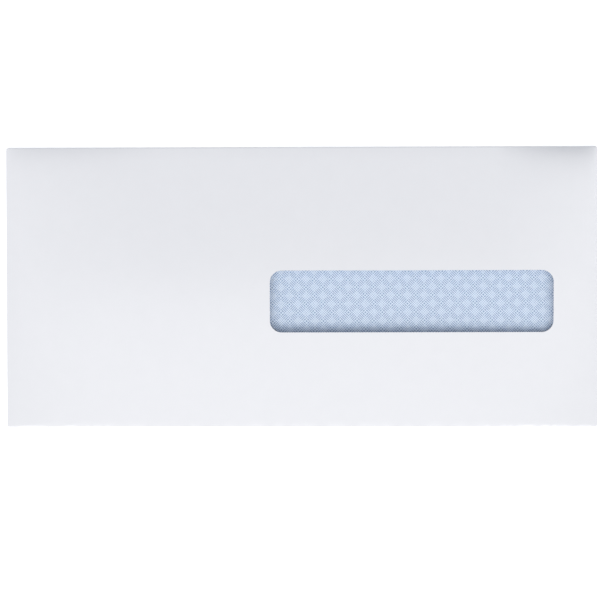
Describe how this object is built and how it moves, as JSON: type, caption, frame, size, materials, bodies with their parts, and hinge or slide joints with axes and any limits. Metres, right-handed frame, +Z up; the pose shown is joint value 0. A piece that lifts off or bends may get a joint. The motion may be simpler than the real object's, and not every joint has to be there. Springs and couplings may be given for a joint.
{
  "type": "window envelope",
  "caption": "Flat white paper envelope lying face up, with a long rounded window at the right, a clear film patch and a blue tint inside.",
  "frame": {"origin": "middle of the envelope's outline, on the surface that it lies on", "axes": "+X along the length, towards the window's end; +Y up the face, towards the top fold; +Z up out of the face"},
  "size_m": [0.2412, 0.1142, 0.003],
  "materials": {
    "white_paper": "matt white wove paper",
    "clear_film": "clear glossy film",
    "blue_print": "pale blue ink on paper"
  },
  "bodies": {
    "root": {"envelope_paper": "white_paper", "window_film": "clear_film", "security_tint": "blue_print"}
  },
  "joints": []
}
